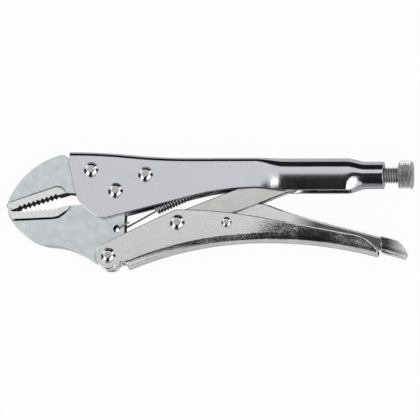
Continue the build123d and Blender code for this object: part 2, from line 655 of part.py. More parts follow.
# Both legs lie beside the coil's axis: the front one under it, the rear one over it
leg_offset = COIL_RADIUS + LEG_RISE
leave_angle = math.asin(COIL_RADIUS / leg_offset)
leave_run = COIL_RADIUS / math.tan(leave_angle) / math.cos(lead)
leave_bend = min(WIRE_BEND, BEND_SHARE * leave_run)
coil_first = -leave_angle / (2 * math.pi)
coil_last = COIL_TURNS - coil_first
arc_count = math.ceil((coil_last - coil_first) * 4)
arc_turn = (coil_last - coil_first) / arc_count
front_corner = coil_point(coil_first) - coil_tangent(coil_first) * leave_run
rear_corner = coil_point(coil_last) + coil_tangent(coil_last) * leave_run
face_height = JAW_THICKNESS / 2 + WIRE_GAP + WIRE / 2
pull = SPRING_EYE_BORE / 2 - WIRE / 2 - WIRE_SEAT
eye = (SPRING_EYE[0] + pull * axis_dir.X, SPRING_EYE[1] + pull * axis_dir.Y)
with BuildPart() as return_spring:
    with BuildLine() as wire_line:
        FilletPolyline(
            Vector(*FREE_END, MID + face_height),
            Vector(*eye, MID + face_height),
            Vector(*eye, MID - face_height),
            front_corner,
            coil_point(coil_first),
            radius=[WIRE_BEND, WIRE_BEND, leave_bend],
        )
        start = coil_point(coil_first)
        for i in range(arc_count):
            first = coil_first + i * arc_turn
            end = coil_point(first + arc_turn)
            joint = biarc_joint(start, end, coil_tangent(first), coil_tangent(first + arc_turn))
            half_arc = TangentArc(start, joint, tangent=coil_tangent(first))
            TangentArc(joint, end, tangent=half_arc % 1)
            start = end
        FilletPolyline(
            start,
            rear_corner,
            hook_point + up_dir * leg_offset,
            hook_point - up_dir * leg_offset,
            hook_point - up_dir * leg_offset - axis_dir * HOOK_RETURN,
            radius=[leave_bend, WIRE_BEND, WIRE_BEND],
        )
    with BuildSketch(Plane(origin=wire_line.wire() @ 0, z_dir=wire_line.wire() % 0)):
        Circle(WIRE / 2)
    sweep()
return_spring.part.label = "return_spring"
export_step(return_spring.part, "parts/return_spring.step")

# Least gap between stretches of the wire that are more than half a turn apart
wire_path = wire_line.wire()
samples = math.ceil(wire_path.length / (WIRE / 4))
points = [tuple(wire_path @ (i / samples)) for i in range(samples + 1)]
apart = math.ceil(turn_length / 2 / (wire_path.length / samples))
least = min(
    math.dist(points[i], points[j])
    for i in range(len(points))
    for j in range(i + apart, len(points))
)
print(f"return_spring least gap to itself {least - WIRE:.2f} mm")
tube_volume = math.pi * WIRE * WIRE / 4 * wire_path.length
print(f"return_spring volume over section times length {return_spring.part.volume / tube_volume:.4f}")
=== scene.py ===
"""Looks of the locking pliers, as an add-on with an operator for each group of pieces and for the stage."""

import json
import math

import bpy
from bpy.props import FloatProperty, FloatVectorProperty, IntProperty, PointerProperty
from mathutils import Matrix, Vector

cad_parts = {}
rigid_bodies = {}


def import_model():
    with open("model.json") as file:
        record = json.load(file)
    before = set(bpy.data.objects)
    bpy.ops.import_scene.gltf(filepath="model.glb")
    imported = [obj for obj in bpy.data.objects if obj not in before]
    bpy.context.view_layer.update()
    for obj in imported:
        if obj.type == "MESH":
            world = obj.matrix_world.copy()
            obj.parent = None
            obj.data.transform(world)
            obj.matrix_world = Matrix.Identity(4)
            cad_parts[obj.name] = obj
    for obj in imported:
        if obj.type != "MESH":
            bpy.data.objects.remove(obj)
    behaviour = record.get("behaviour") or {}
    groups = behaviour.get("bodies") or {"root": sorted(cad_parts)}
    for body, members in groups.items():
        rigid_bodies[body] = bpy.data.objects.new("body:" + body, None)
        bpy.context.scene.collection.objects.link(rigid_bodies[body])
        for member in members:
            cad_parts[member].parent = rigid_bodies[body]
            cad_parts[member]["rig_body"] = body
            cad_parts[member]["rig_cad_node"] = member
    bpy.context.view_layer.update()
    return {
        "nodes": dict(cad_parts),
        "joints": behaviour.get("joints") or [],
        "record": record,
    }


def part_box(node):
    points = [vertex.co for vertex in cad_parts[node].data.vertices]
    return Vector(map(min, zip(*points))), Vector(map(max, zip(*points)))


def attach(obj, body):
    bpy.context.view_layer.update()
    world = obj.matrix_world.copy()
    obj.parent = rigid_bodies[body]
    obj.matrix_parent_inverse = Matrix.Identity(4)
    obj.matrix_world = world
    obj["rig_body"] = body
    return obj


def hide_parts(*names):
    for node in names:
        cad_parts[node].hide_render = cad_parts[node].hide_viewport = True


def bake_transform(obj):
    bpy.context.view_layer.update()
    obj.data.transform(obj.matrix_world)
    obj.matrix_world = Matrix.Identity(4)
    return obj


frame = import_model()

bl_info = {
    "name": "Locking pliers",
    "version": (1, 0, 0),
    "blender": (4, 5, 0),
    "location": "3D View > Sidebar > Pliers",
    "description": "Models the visible pieces of a pair of locking pliers round their packed frame",
    "category": "Object",
}

NODES = frame["nodes"]
MM = 0.001

# Axes of the tool, from the frame. All places are in metres, in that frame
JOINTS = {joint["name"]: joint for joint in frame["joints"]}
MID_PLANE = JOINTS["jaw_pivot"]["pos_m"][2]
SCREW_AXIS = Vector(JOINTS["knob_turn"]["pos_m"])

# Further along or across the tool than any of its parts
FAR = 1.0

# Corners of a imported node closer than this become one, and faces closer in angle than this become one flat
WELD = 2e-6
FLAT_ANGLE = math.radians(0.05)

# Edges sharper than these angles, in degrees, are rounded, in so many steps
HANDLE_CREASE = 50
JAW_CREASE = 35
LINKAGE_CREASE = 40
ROUND_STEPS = 3

# Faces that meet under less than these angles, in degrees, are shaded as one surface
PLATE_SMOOTH = 30
THREAD_SMOOTH = 25
KNURL_SMOOTH = 20
WIRE_SMOOTH = 60


def length_property(name, description, default):
    """Property for a length in metres."""
    return FloatProperty(name=name, description=description, default=default, unit="LENGTH", precision=5)


def colour_property(name, description, default):
    """Property for the colour of a finish."""
    return FloatVectorProperty(
        name=name, description=description, default=default, size=3, min=0, max=1, subtype="COLOR"
    )


class PliersSizes(bpy.types.PropertyGroup):
    """Sizes of the details that the frame leaves to the looks."""

    sheet_round: length_property(
        "Sheet edge", "Radius of the rounded edges of the lower handle and the link", 0.7 * MM
    )
    lever_round: length_property("Lever edge", "Radius of the rounded edges of the release lever", 1.1 * MM)
    crisp_round: length_property(
        "Crisp edge", "Radius of the rounded edges of the upper handle and of the lever's tail", 0.35 * MM
    )
    jaw_round: length_property("Jaw edge", "Radius of the rounded edges of the forged jaws", 0.45 * MM)
    thread_pitch: length_property("Thread pitch", "Advance of the adjusting screw in one turn", 1.5 * MM)
    thread_depth: length_property("Thread depth", "Height of the thread from root to crest", 0.85 * MM)
    knob_flats: IntProperty(
        name="Knob flats", description="Flats round the knob, which the knurl is cut into", default=26, min=12
    )
    knurl_rows: IntProperty(
        name="Knurl rows",
        description="Rows of diamonds along the knob, and round it on each of its flats",
        default=4,
        min=2,
    )
    knurl_height: length_property("Knurl height", "Height of the points of the knurl", 0.6 * MM)
    knob_chamfer: length_property(
        "Knob chamfer", "Width of the bare chamfers at both ends of the knob", 1.1 * MM
    )


class PliersFinishes(bpy.types.PropertyGroup):
    """Colours of the finishes."""

    upper_nickel: colour_property(
        "Upper handle", "Bright nickel plate of the fixed handle", (0.70, 0.715, 0.765)
    )
    lower_nickel: colour_property(
        "Lower handle", "Nickel plate of the movable handle, over a rougher sheet", (0.85, 0.84, 0.83)
    )
    link_nickel: colour_property("Link", "Nickel plate of the toggle link", (0.76, 0.75, 0.73))
    lever_nickel: colour_property("Lever", "Nickel plate of the release lever", (0.82, 0.83, 0.84))
    # The lever's flats between the walls take this colour, darkened towards the rear with painted shade
    lever_flat_painted_shade: colour_property(
        "Lever side", "Oil-dark flats of the lever between the walls", (0.82, 0.83, 0.84)
    )
    tail_nickel: colour_property(
        "Tail", "Plate of the lever's tail, worn towards its end", (0.80, 0.81, 0.82)
    )
    rim_nickel: colour_property(
        "Rims", "Tumbled rims of the lower handle and the lever", (0.95, 0.95, 0.95)
    )
    jaw_nickel: colour_property("Jaws", "Satin nickel on the blasted jaws", (0.785, 0.84, 0.855))
    grip_nickel: colour_property(
        "Grips", "Ground flats of the raised grips beside the teeth", (0.96, 0.98, 0.98)
    )
    # The mouth colour is a near-black painted shade for the jaw faces that lie in shade
    mouth_painted_shade: colour_property(
        "Mouth", "Dark steel between the jaws, cut after plating", (0.012, 0.012, 0.012)
    )
    rivet_steel: colour_property("Rivets", "Polished plate of the rivet heads", (0.78, 0.78, 0.80))
    rivet_end: colour_property("Rivet ends", "Bare flat in the middle of a rivet head", (0.62, 0.58, 0.57))
    screw_steel: colour_property("Screw", "Dull plate of the adjusting screw", (0.84, 0.86, 0.84))
    knob_steel: colour_property("Knob", "Dull plate of the knurled knob", (0.97, 0.99, 0.97))
    spring_steel: colour_property("Spring", "Drawn wire of the return spring", (0.45, 0.45, 0.45))
    floor_white: colour_property("Floor", "Pale floor of the studio", (0.52, 0.52, 0.53))


# Surface of each finish: roughness and its spread, share of the colour that the clouds take or add, size of
# the clouds, height and size of the grain
SURFACES = {
    "upper_nickel": (0.13, 0.02, 0.03, 0.030, 2e-6, 0.0020),
    "lower_nickel": (0.19, 0.09, 0.12, 0.012, 4.4e-5, 0.0009),
    "link_nickel": (0.22, 0.04, 0.10, 0.010, 2.0e-5, 0.0008),
    "lever_nickel": (0.18, 0.04, 0.10, 0.010, 2.0e-5, 0.0008),
    "lever_flat_painted_shade": (0.18, 0.04, 0.10, 0.010, 2.0e-5, 0.0008),
    "tail_nickel": (0.40, 0.08, 0.10, 0.006, 2.0e-5, 0.0008),
    "rim_nickel": (0.75, 0.05, 0.05, 0.004, 1e-6, 0.0006),
    "jaw_nickel": (0.36, 0.04, 0.10, 0.005, 2.2e-5, 0.0007),
    "grip_nickel": (0.34, 0.04, 0.04, 0.005, 1.6e-5, 0.0007),
    "mouth_painted_shade": (0.45, 0.05, 0.20, 0.004, 8e-6, 0.0004),
    "rivet_steel": (0.06, 0.02, 0.03, 0.004, 1e-6, 0.0006),
    "rivet_end": (0.24, 0.05, 0.12, 0.001, 2e-6, 0.0003),
    "screw_steel": (0.50, 0.05, 0.12, 0.003, 5e-6, 0.0004),
    "knob_steel": (0.30, 0.05, 0.12, 0.003, 5e-6, 0.0004),
    "spring_steel": (0.32, 0.04, 0.08, 0.003, 1e-6, 0.0004),
}

# Fineness of the clouds and of the grain, and the sums of both at which a finish is darkest and lightest
CLOUD_DETAIL = 4
GRAIN_DETAIL = 2
MOTTLE_DARK, MOTTLE_LIGHT = 0.75, 1.25


def deselect():
    """Leave edit mode and select nothing."""
    if bpy.context.object and bpy.context.object.mode != "OBJECT":
        bpy.ops.object.mode_set(mode="OBJECT")
    bpy.ops.object.select_all(action="DESELECT")


def pick(piece):
    """Make a piece the only selected object, and the active one."""
    deselect()
    piece.select_set(True)
    bpy.context.view_layer.objects.active = piece


def added(name):
    """Name the object that an operator has just added."""
    piece = bpy.context.view_layer.objects.active
    piece.name = name
    piece.data.name = name
    return piece


def copy_node(node, name):
    """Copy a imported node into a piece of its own, with its loose triangles welded together."""
    pick(NODES[node])
    bpy.ops.object.duplicate(linked=False)
    bpy.ops.object.parent_clear(type="CLEAR_KEEP_TRANSFORM")
    piece = added(name)
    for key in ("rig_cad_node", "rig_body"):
        del piece[key]
    piece.data.materials.clear()
    bpy.ops.object.mode_set(mode="EDIT")
    bpy.ops.mesh.select_all(action="SELECT")
    bpy.ops.mesh.remove_doubles(threshold=WELD)
    bpy.ops.mesh.dissolve_limited(angle_limit=FLAT_ANGLE)
    bpy.ops.object.mode_set(mode="OBJECT")
    return piece


def apply_modifier(piece, kind, **settings):
    """Add a modifier to the active piece, set it and apply it."""
    bpy.ops.object.modifier_add(type=kind)
    modifier = piece.modifiers[-1]
    for setting, value in settings.items():
        setattr(modifier, setting, value)
    bpy.ops.object.modifier_apply(modifier=modifier.name)


def select(piece, kind, wanted):
    """Select the corners, edges or faces of the active piece that pass a test, and stay in edit mode."""
    bpy.ops.object.mode_set(mode="EDIT")
    bpy.ops.mesh.select_mode(type=kind)
    bpy.ops.mesh.select_all(action="DESELECT")
    bpy.ops.object.mode_set(mode="OBJECT")
    mesh = piece.data
    for part in {"VERT": mesh.vertices, "EDGE": mesh.edges, "FACE": mesh.polygons}[kind]:
        part.select = wanted(part)
    bpy.ops.object.mode_set(mode="EDIT")


def at_place(piece, edge, place):
    """Say whether both ends of an edge lie at a place along the tool."""
    return all(abs(piece.data.vertices[i].co.x - place) < WELD for i in edge.vertices)


def inside(box, at):
    """Say whether a place lies in a box of lowest x, highest x, lowest y and highest y."""
    return box[0] < at.x < box[1] and box[2] < at.y < box[3]


def round_edges(piece, radius, crease, spared=()):
    """Round the outward edges of a piece that are sharper than a crease, except for those in spared boxes."""
    beside = {}
    for face in piece.data.polygons:
        for key in face.edge_keys:
            beside.setdefault(key, []).append((face.normal.copy(), face.center.copy()))

    def rounded(edge):
        (first, _), (second, middle) = beside[edge.key]
        start, end = [piece.data.vertices[i].co for i in edge.vertices]
        sharp = first.angle(second) > math.radians(crease)
        outward = (middle - start).dot(first) < 0
        return sharp and outward and not any(inside(box, start) and inside(box, end) for box in spared)

    select(piece, "EDGE", rounded)
    bpy.ops.mesh.bevel(offset=radius, segments=ROUND_STEPS, clamp_overlap=False)
    bpy.ops.object.mode_set(mode="OBJECT")


def shade(piece, angle):
    """Shade a piece smooth up to an angle, with its flats kept flat."""
    pick(piece)
    bpy.ops.object.shade_smooth_by_angle(angle=math.radians(angle))
    apply_modifier(piece, "WEIGHTED_NORMAL", keep_sharp=True)


def finish_piece(piece, finish, body, node):
    """Give a piece its finish, let it ride on a body and stand for its node."""
    piece.data.materials.append(plated(finish))
    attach(piece, body)
    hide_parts(node)


def cover(piece, finish, wanted):
    """Give the faces of a piece that pass a test one more finish."""
    piece.data.materials.append(plated(finish))
    last = len(piece.data.materials) - 1
    for face in piece.data.polygons:
        if wanted(face):
            face.material_index = last


def new_material(name):
    """Add a material, and give back its nodes and links and its shader too."""
    material = bpy.data.materials.new(name)
    material.use_nodes = True
    tree = material.node_tree
    return material, tree, tree.nodes["Principled BSDF"]


def object_place(tree):
    """Place of a point on its piece."""
    return tree.nodes.new("ShaderNodeTexCoord").outputs["Object"]


def place_along(tree):
    """Place of a point along the tool."""
    along = tree.nodes.new("ShaderNodeSeparateXYZ")
    tree.links.new(object_place(tree), along.inputs[0])
    return along.outputs["X"]


def noise(tree, size, detail):
    """Soft noise with spots of a size."""
    spots = tree.nodes.new("ShaderNodeTexNoise")
    spots.inputs["Scale"].default_value = 1 / size
    spots.inputs["Detail"].default_value = detail
    tree.links.new(object_place(tree), spots.inputs["Vector"])
    return spots.outputs["Fac"]


def vector_maths(tree, operation, vector, other=None):
    """Node that works on a vector, with another one that is the same all over."""
    node = tree.nodes.new("ShaderNodeVectorMath")
    node.operation = operation
    tree.links.new(vector, node.inputs[0])
    if other is not None:
        node.inputs[1].default_value = other
    return node


def maths(tree, operation, *values):
    """Result of a sum of values, each from another node or a number."""
    node = tree.nodes.new("ShaderNodeMath")
    node.operation = operation
    for socket, value in zip(node.inputs, values):
        if isinstance(value, bpy.types.NodeSocket):
            tree.links.new(value, socket)
        else:
            socket.default_value = value
    return node.outputs[0]


def ramp(tree, value, start, end, first, last):
    """Number that goes from first to last while a value goes from start to end."""
    node = tree.nodes.new("ShaderNodeMapRange")
    for name, number in (("From Min", start), ("From Max", end), ("To Min", first), ("To Max", last)):
        node.inputs[name].default_value = number
    tree.links.new(value, node.inputs["Value"])
    return node.outputs["Result"]


def darken(tree, share):
    """Leave a share of the clouded colour of a finish."""
    shaded = vector_maths(tree, "SCALE", tree.nodes["tint"].outputs["Result"])
    tree.links.new(share, shaded.inputs["Scale"])
    tree.links.new(shaded.outputs[0], tree.nodes["Principled BSDF"].inputs["Base Color"])


def plated(finish):
    """Material of a finish: a metal with clouded colour and roughness, and a fine grain in relief."""
    name = finish + "_finish"
    if name in bpy.data.materials:
        return bpy.data.materials[name]
    colour = getattr(bpy.context.scene.pliers_finishes, finish)
    roughness, spread, cloud, cloud_size, grain, grain_size = SURFACES[finish]
    material, tree, shader = new_material(name)
    shader.inputs["Metallic"].default_value = 1.0
    grit = noise(tree, grain_size, GRAIN_DETAIL)
    mottle = maths(tree, "ADD", noise(tree, cloud_size, CLOUD_DETAIL), grit)
    contrast = ramp(tree, mottle, MOTTLE_DARK, MOTTLE_LIGHT, 0, 1)
    tint = tree.nodes.new("ShaderNodeMix")
    tint.name = "tint"
    tint.data_type = "RGBA"
    tint.inputs["A"].default_value = (*[c * (1 - cloud) for c in colour], 1)
    tint.inputs["B"].default_value = (*[min(c * (1 + cloud), 1) for c in colour], 1)
    tree.links.new(contrast, tint.inputs["Factor"])
    tree.links.new(tint.outputs["Result"], shader.inputs["Base Color"])
    sheen = ramp(tree, contrast, 0, 1, roughness - spread, roughness + spread)
    tree.links.new(sheen, shader.inputs["Roughness"])
    relief = tree.nodes.new("ShaderNodeBump")
    relief.inputs["Strength"].default_value = 1.0
    relief.inputs["Distance"].default_value = grain
    tree.links.new(grit, relief.inputs["Height"])
    tree.links.new(relief.outputs["Normal"], shader.inputs["Normal"])
    return material


class PLIERS_OT_fixed_handle(bpy.types.Operator):
    """Round the edges of the upper handle and plate it"""

    bl_idname = "pliers.fixed_handle"
    bl_label = "Fixed handle"

    def execute(self, context):
        handle = copy_node("fixed_handle", "upper_handle")
        round_edges(handle, context.scene.pliers_sizes.crisp_round, HANDLE_CREASE)
        shade(handle, PLATE_SMOOTH)
        finish_piece(handle, "upper_nickel", "fixed_handle", "fixed_handle")
        return {"FINISHED"}


# From here to the rear the rims of the lower handle and the lever are tumbled dull, where they turn this far
# outwards and this far up or back
RIM_START = 0.104
RIM_FACING = 0.1


def on_rear_rim(face):
    """Say whether a face lies on a rounded outer rim in the rear of the tool."""
    outward = face.normal.z * math.copysign(1, face.center.z - MID_PLANE)
    leaning = max(face.normal.x, face.normal.y)
    return face.center.x > RIM_START and outward > RIM_FACING and leaning > RIM_FACING


class PLIERS_OT_movable_handle(bpy.types.Operator):
    """Round the edges of the lower handle and plate it"""

    bl_idname = "pliers.movable_handle"
    bl_label = "Movable handle"

    def execute(self, context):
        handle = copy_node("movable_handle", "lower_handle")
        round_edges(handle, context.scene.pliers_sizes.sheet_round, HANDLE_CREASE)
        shade(handle, PLATE_SMOOTH)
        finish_piece(handle, "lower_nickel", "movable_handle", "movable_handle")
        cover(handle, "rim_nickel", on_rear_rim)
        return {"FINISHED"}


# Parts of the jaws, each from its lowest to its highest x and y: what lies between them, the teeth and the
# raised grips with their crisp edges, the step under the lower grip, which stays in its own shade, and the
# cut rear edge of the lower jaw with the eye for the spring. Their faces in shade get a near-black painted
# shade
MOUTH = (-0.0655, -0.009, -0.0145, 0.002)
GRIP_ZONE = (-0.070, -0.009, -0.0195, 0.0075)
STEP_ZONE = (-0.0632, -0.009, -0.0195, -0.009)
JAW_REAR = (-0.004, 0.008, -0.0275, -0.0125)

# How far a face of the jaws with painted shade turns inwards, down or back
MOUTH_FACING = 0.3

# Half the thickness of the jaws past which a flat belongs to a raised grip
GRIP_FLAT = 4.6 * MM


def in_jaw_shade(face, inward):
    """Say whether a face of a jaw turns inwards in the mouth, or lies under its grip or at its rear, and so
    gets painted shade.
    """
    between = inside(MOUTH, face.center) and inward * face.normal.y > MOUTH_FACING
    behind = inside(JAW_REAR, face.center) and abs(face.normal.z) < MOUTH_FACING
    under = inside(STEP_ZONE, face.center) and face.normal.y < -MOUTH_FACING
    return between or behind or under


def on_grip(face):
    """Say whether a face of a jaw lies on its raised grip."""
    return inside(GRIP_ZONE, face.center) and abs(face.center.z - MID_PLANE) > GRIP_FLAT


class PLIERS_OT_jaws(bpy.types.Operator):
    """Round the edges of both forged jaws and blast them"""

    bl_idname = "pliers.jaws"
    bl_label = "Jaws"

    def execute(self, context):
        sizes = context.scene.pliers_sizes
        for node, body, inward in (("fixed_jaw", "fixed_handle", -1), ("movable_jaw", "movable_jaw", 1)):
            jaw = copy_node(node, node + "_forging")
            round_edges(jaw, sizes.jaw_round, JAW_CREASE, spared=[GRIP_ZONE])
            shade(jaw, PLATE_SMOOTH)
            finish_piece(jaw, "jaw_nickel", body, node)
            # Jaw faces in shade are painted near black
            cover(jaw, "mouth_painted_shade", lambda face: in_jaw_shade(face, inward))
            cover(jaw, "grip_nickel", lambda face: on_grip(face) and not in_jaw_shade(face, inward))
        return {"FINISHED"}


# Where the painted shade on the sides of the lever starts, where it is darkest, and where its tail starts
SIDE_LIGHT, SIDE_DARK, TAIL_START = 0.108, 0.124, 0.1605

# Front of the lever, cut for the link, whose edges stay sharp
LEVER_FRONT = (-FAR, 0.0925, -FAR, FAR)

# Tail of the lever, whose edges are finer than those of its shank, and all that lies before it
LEVER_TAIL = (0.158, FAR, -FAR, FAR)
LEVER_BODY = (-FAR, TAIL_START, -FAR, FAR)

# How far the sides of the lever with painted shade face sideways, and the share of their colour that the
# painted shade leaves
SIDE_FACING = 0.99
SIDE_SHADE = 0.15

# How far the dull underside of the tail faces down
UNDER_FACING = 0.8

# Where the wear of the tail starts, and its roughness there and at its end
WEAR_START = 0.168
TAIL_BRIGHT = 0.16
TAIL_DULL = 0.50


def on_lever_flat_in_shade(face):
    """Say whether a face of the lever lies on a flat that rubs between the walls of the lower handle, and
    gets painted shade.
    """
    return face.center.x < TAIL_START and abs(face.normal.z) > SIDE_FACING


def on_lever_rim(face):
    """Say whether a face of the lever lies on a tumbled rim or on the underside of the tail."""
    return on_rear_rim(face) or (face.center.x > TAIL_START and face.normal.y < -UNDER_FACING)


class PLIERS_OT_linkage(bpy.types.Operator):
    """Round the edges of the toggle link and the release lever and plate them"""

    bl_idname = "pliers.linkage"
    bl_label = "Link and lever"

    def execute(self, context):
        sizes = context.scene.pliers_sizes
        link = copy_node("toggle_link", "toggle_strut")
        round_edges(link, sizes.sheet_round, LINKAGE_CREASE)
        shade(link, PLATE_SMOOTH)
        finish_piece(link, "link_nickel", "toggle_link", "toggle_link")

        lever = copy_node("release_lever", "release_arm")
        round_edges(lever, sizes.lever_round, LINKAGE_CREASE, spared=[LEVER_FRONT, LEVER_TAIL])
        round_edges(lever, sizes.crisp_round, LINKAGE_CREASE, spared=[LEVER_BODY])
        shade(lever, PLATE_SMOOTH)
        finish_piece(lever, "lever_nickel", "release_lever", "release_lever")
        # The lever's flats between the walls get painted shade, which darkens them towards the rear
        cover(lever, "lever_flat_painted_shade", on_lever_flat_in_shade)
        cover(lever, "rim_nickel", on_lever_rim)
        cover(lever, "tail_nickel", lambda face: face.center.x > TAIL_START and not on_lever_rim(face))

        side = plated("lever_flat_painted_shade").node_tree
        darken(side, ramp(side, place_along(side), SIDE_LIGHT, SIDE_DARK, 1, SIDE_SHADE))
        tail = plated("tail_nickel").node_tree
        tail_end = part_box("release_lever")[1].x
        wear = ramp(tail, place_along(tail), WEAR_START, tail_end, TAIL_BRIGHT, TAIL_DULL)
        tail.links.new(wear, tail.nodes["Principled BSDF"].inputs["Roughness"])
        return {"FINISHED"}


# How far the bare flat of a rivet head faces sideways
RIVET_END_FACING = 0.995


class PLIERS_OT_rivets(bpy.types.Operator):
    """Polish the heads of the rivets"""

    bl_idname = "pliers.rivets"
    bl_label = "Rivets"

    def execute(self, context):
        for body, members in frame["record"]["behaviour"]["bodies"].items():
            for node in [member for member in members if member.endswith("_rivet")]:
                rivet = copy_node(node, node + "_head")
                shade(rivet, PLATE_SMOOTH)
                finish_piece(rivet, "rivet_steel", body, node)
                cover(rivet, "rivet_end", lambda face: abs(face.normal.z) > RIVET_END_FACING)
        return {"FINISHED"}


# Share of the colour that is left in the valleys of the screw and its knob, where shade is painted in
THREAD_SHADE = 0.25
KNURL_SHADE = 0.60

# Takes the part along the screw out of a vector
ACROSS_SCREW = Vector((0, 1, 1))


def paint_valley_shade(piece, valley, crest, share):
    """Paint shade into the finish of a piece of the screw towards its valleys, by the distance from its axis.
    """
    tree = piece.data.materials[0].node_tree
    from_axis = vector_maths(tree, "SUBTRACT", object_place(tree), SCREW_AXIS)
    across = vector_maths(tree, "MULTIPLY", from_axis.outputs[0], ACROSS_SCREW)
    radius = vector_maths(tree, "LENGTH", across.outputs[0])
    darken(tree, ramp(tree, radius.outputs["Value"], valley, crest, share, 1))


# Profile of the thread, in shares of its pitch: half the width of its root, and where its crest starts
THREAD_ROOT = 0.12
THREAD_CREST = 0.44

# Steps of a turn of the thread, and turns that are wound past both ends and cut off
THREAD_STEPS = 32
SPARE_TURNS = 2


class PLIERS_OT_screw(bpy.types.Operator):
    """Cut the thread of the adjusting screw"""

    bl_idname = "pliers.screw"
    bl_label = "Adjusting screw"

    def execute(self, context):
        sizes = context.scene.pliers_sizes
        low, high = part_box("adjusting_screw")
        knob_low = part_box("screw_knob")[0]
        crest = (high.y - low.y) / 2
        root = crest - sizes.thread_depth
        pitch = sizes.thread_pitch
        turns = math.ceil((knob_low.x - low.x) / pitch) + SPARE_TURNS
        start = low.x - pitch - SCREW_AXIS.x
        profile = [
            (0, root),
            (THREAD_ROOT, root),
            (THREAD_CREST, crest),
            (1 - THREAD_CREST, crest),
            (1 - THREAD_ROOT, root),
        ]

        # A ring becomes the profile of a turn: its closing edge goes, and its last corner is drawn out
        last = len(profile) - 1
        deselect()
        bpy.ops.mesh.primitive_circle_add(vertices=len(profile), radius=pitch, fill_type="NOTHING")
        screw = added("threaded_rod")
        for corner, (along, radius) in zip(screw.data.vertices, profile):
            corner.co = (start + along * pitch, radius, 0)
        select(screw, "EDGE", lambda edge: set(edge.vertices) == {0, last})
        bpy.ops.mesh.delete(type="EDGE")
        select(screw, "VERT", lambda corner: corner.index == last)
        bpy.ops.mesh.extrude_vertices_move(TRANSFORM_OT_translate={"value": (THREAD_ROOT * pitch, 0, 0)})
        bpy.ops.object.mode_set(mode="OBJECT")
        apply_modifier(
            screw,
            "SCREW",
            axis="X",
            angle=2 * math.pi,
            screw_offset=pitch,
            iterations=turns,
            steps=THREAD_STEPS,
            render_steps=THREAD_STEPS,
            use_merge_vertices=True,
            merge_threshold=WELD,
        )
        screw.data.transform(Matrix.Translation(SCREW_AXIS))

        # The rod is cut off flat at its tip and at the knob
        bpy.ops.object.mode_set(mode="EDIT")
        bpy.ops.mesh.select_all(action="SELECT")
        bpy.ops.mesh.remove_doubles(threshold=WELD)
        bpy.ops.mesh.bisect(plane_co=(low.x, 0, 0), plane_no=(1, 0, 0), clear_inner=True, use_fill=True)
        bpy.ops.mesh.select_all(action="SELECT")
        bpy.ops.mesh.bisect(plane_co=(knob_low.x, 0, 0), plane_no=(1, 0, 0), clear_outer=True, use_fill=True)
        bpy.ops.mesh.select_all(action="SELECT")
        bpy.ops.mesh.normals_make_consistent(inside=False)
        bpy.ops.object.mode_set(mode="OBJECT")
        shade(screw, THREAD_SMOOTH)
        finish_piece(screw, "screw_steel", "adjusting_screw", "adjusting_screw")
        paint_valley_shade(screw, root, crest, THREAD_SHADE)
        return {"FINISHED"}


class PLIERS_OT_knob(bpy.types.Operator):
    """Knurl the knob of the adjusting screw"""

    bl_idname = "pliers.knob"
    bl_label = "Knob"

    def execute(self, context):
        sizes = context.scene.pliers_sizes
        low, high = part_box("screw_knob")
        tip_radius = (high.y - low.y) / 2
        root = tip_radius - sizes.knurl_height
        knurl_length = high.x - low.x - 2 * sizes.knob_chamfer
        middle = ((low.x + high.x) / 2, SCREW_AXIS.y, SCREW_AXIS.z)
        ends = (low.x + sizes.knob_chamfer, high.x - sizes.knob_chamfer)

        # A ring of flats, each divided alike along and round the knob into a grid of oblong faces
        deselect()
        bpy.ops.mesh.primitive_cylinder_add(
            vertices=sizes.knob_flats,
            radius=root,
            depth=knurl_length,
            end_fill_type="NOTHING",
            location=middle,
            rotation=(0, math.pi / 2, 0),
        )
        knob = added("knurled_knob")
        bpy.ops.object.transform_apply(location=True, rotation=True, scale=True)
        select(knob, "EDGE", lambda edge: True)
        bpy.ops.mesh.subdivide(number_cuts=sizes.knurl_rows - 1)
        bpy.ops.object.mode_set(mode="OBJECT")
        grid_corners = len(knob.data.vertices)

        def in_grid(edge):
            on_rim = any(at_place(knob, edge, end) for end in ends)
            return max(edge.vertices) < grid_corners and not on_rim

        # The grid turns into diamonds between the middles of its faces, and each diamond rises to a point
        select(knob, "FACE", lambda face: True)
        bpy.ops.mesh.poke()
        select(knob, "EDGE", in_grid)
        bpy.ops.mesh.dissolve_edges(use_verts=False)
        select(knob, "FACE", lambda face: len(face.vertices) == 4)
        bpy.ops.mesh.poke(offset=sizes.knurl_height)

        # Both rims are drawn out into the chamfers and closed
        shrink = 1 - sizes.knob_chamfer / root
        for end, outward in zip(ends, (-1, 1)):
            select(knob, "EDGE", lambda edge: at_place(knob, edge, end))
            bpy.ops.mesh.extrude_edges_move(
                TRANSFORM_OT_translate={"value": (outward * sizes.knob_chamfer, 0, 0)}
            )
            bpy.ops.transform.resize(value=(1, shrink, shrink), center_override=(end, *middle[1:]))
            bpy.ops.mesh.edge_face_add()
        bpy.ops.mesh.select_all(action="SELECT")
        bpy.ops.mesh.normals_make_consistent(inside=False)
        bpy.ops.object.mode_set(mode="OBJECT")
        shade(knob, KNURL_SMOOTH)
        finish_piece(knob, "knob_steel", "screw_knob", "screw_knob")
        paint_valley_shade(knob, root, tip_radius, KNURL_SHADE)
        return {"FINISHED"}


class PLIERS_OT_spring(bpy.types.Operator):
    """Copy the return spring, shade it smooth and give it its finish"""

    bl_idname = "pliers.spring"
    bl_label = "Return spring"

    def execute(self, context):
        spring = copy_node("return_spring", "return_spring_wire")
        shade(spring, WIRE_SMOOTH)
        spring.data.materials.append(plated("spring_steel"))
        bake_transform(spring)
        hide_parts("return_spring")
        return {"FINISHED"}


# View of the photograph: where the camera stands from the object, the middle of the picture and its width
CAMERA_SIDE = Vector((0.156, -0.170, 0.973)).normalized()
PICTURE_MIDDLE = Vector((0.0579, -0.0109, MID_PLANE))
PICTURE_WIDTH = 0.2575

